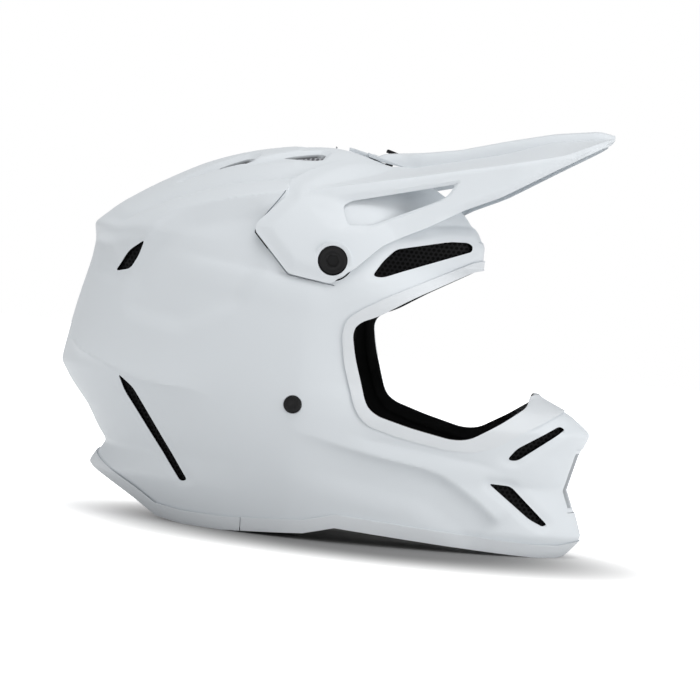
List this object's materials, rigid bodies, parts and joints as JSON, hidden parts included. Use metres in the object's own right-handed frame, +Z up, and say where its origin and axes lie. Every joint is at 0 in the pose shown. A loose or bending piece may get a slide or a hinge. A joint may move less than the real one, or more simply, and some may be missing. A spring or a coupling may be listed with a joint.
{
  "type": "motocross helmet",
  "caption": "Full face off-road helmet with a long peaked visor on pivot screws, an open eyeport, chin bar vents, foam and fabric lining and a chin strap with rings.",
  "frame": {"origin": "on the ground under the middle of the helmet's length and width", "axes": "+X forward out of the eyeport, +Y to the rider's left, +Z up"},
  "size_m": [0.3534, 0.2485, 0.2801],
  "materials": {
    "shell": "matt white moulded shell, very fine grain",
    "visor": "matt white moulded visor",
    "trim": "soft white edge trim",
    "black_plastic": "black moulding with fine grain",
    "mesh": "black vent mesh",
    "screw": "black screw and rivet heads, dull",
    "steel": "plated steel hardware",
    "foam": "expanded polystyrene, charcoal beads",
    "liner": "black brushed and perforated comfort fabric",
    "rubber": "black rubber washer",
    "webbing": "black woven webbing"
  },
  "bodies": {
    "helmet": {"outer_shell": "shell", "eyeport_trim": "trim", "base_trim_rear": "trim", "base_trim_front": "trim", "mouth_grille": "shell", "mouth_mesh": "mesh", "crown_vents_front": "mesh", "crown_vents_rear": "mesh", "crown_foam": "foam", "crown_liner": "liner", "chin_foam": "foam", "neck_roll": "liner", "crown_screw": "screw", "crown_nut": "steel", "strap_snap": "screw", "brow_vent_right": "mesh", "chin_vent_upper_right": "mesh", "chin_vent_lower_right": "mesh", "rear_slot_right": "mesh", "rear_vent_right": "mesh", "cheek_foam_right": "foam", "cheek_pad_right": "liner", "cheek_snaps_right": "black_plastic", "visor_screw_right": "screw", "visor_washer_right": "rubber", "visor_nut_right": "steel", "strap_rivet_right": "screw", "strap_plate_right": "steel", "chin_strap_right": "webbing", "brow_vent_left": "mesh", "chin_vent_upper_left": "mesh", "chin_vent_lower_left": "mesh", "rear_slot_left": "mesh", "rear_vent_left": "mesh", "cheek_foam_left": "foam", "cheek_pad_left": "liner", "cheek_snaps_left": "black_plastic", "visor_screw_left": "screw", "visor_washer_left": "rubber", "visor_nut_left": "steel", "strap_rivet_left": "screw", "strap_plate_left": "steel", "chin_strap_left": "webbing"},
    "visor": {"visor": "visor"},
    "d_ring_lower": {"d_ring_lower": "steel"},
    "d_ring_upper": {"d_ring_upper": "steel"}
  },
  "joints": [
    {"name": "visor_tilt", "type": "hinge", "parent": "helmet", "child": "visor", "pos_m": [0.0018, 0, 0.1791], "axis": [0, -1, 0], "range_deg": [-2, 3]},
    {"name": "d_ring_lower_swing", "type": "hinge", "parent": "helmet", "child": "d_ring_lower", "pos_m": [-0.0132, -0.07046, 0.0062], "axis": [1, 0, 0], "range_deg": [-8, 28]},
    {"name": "d_ring_upper_swing", "type": "hinge", "parent": "helmet", "child": "d_ring_upper", "pos_m": [-0.0132, -0.07046, 0.0102], "axis": [1, 0, 0], "range_deg": [-8, 28]}
  ],
  "couplings": [
    {"joint": "d_ring_upper_swing", "follows": "d_ring_lower_swing", "ratio": 1}
  ]
}
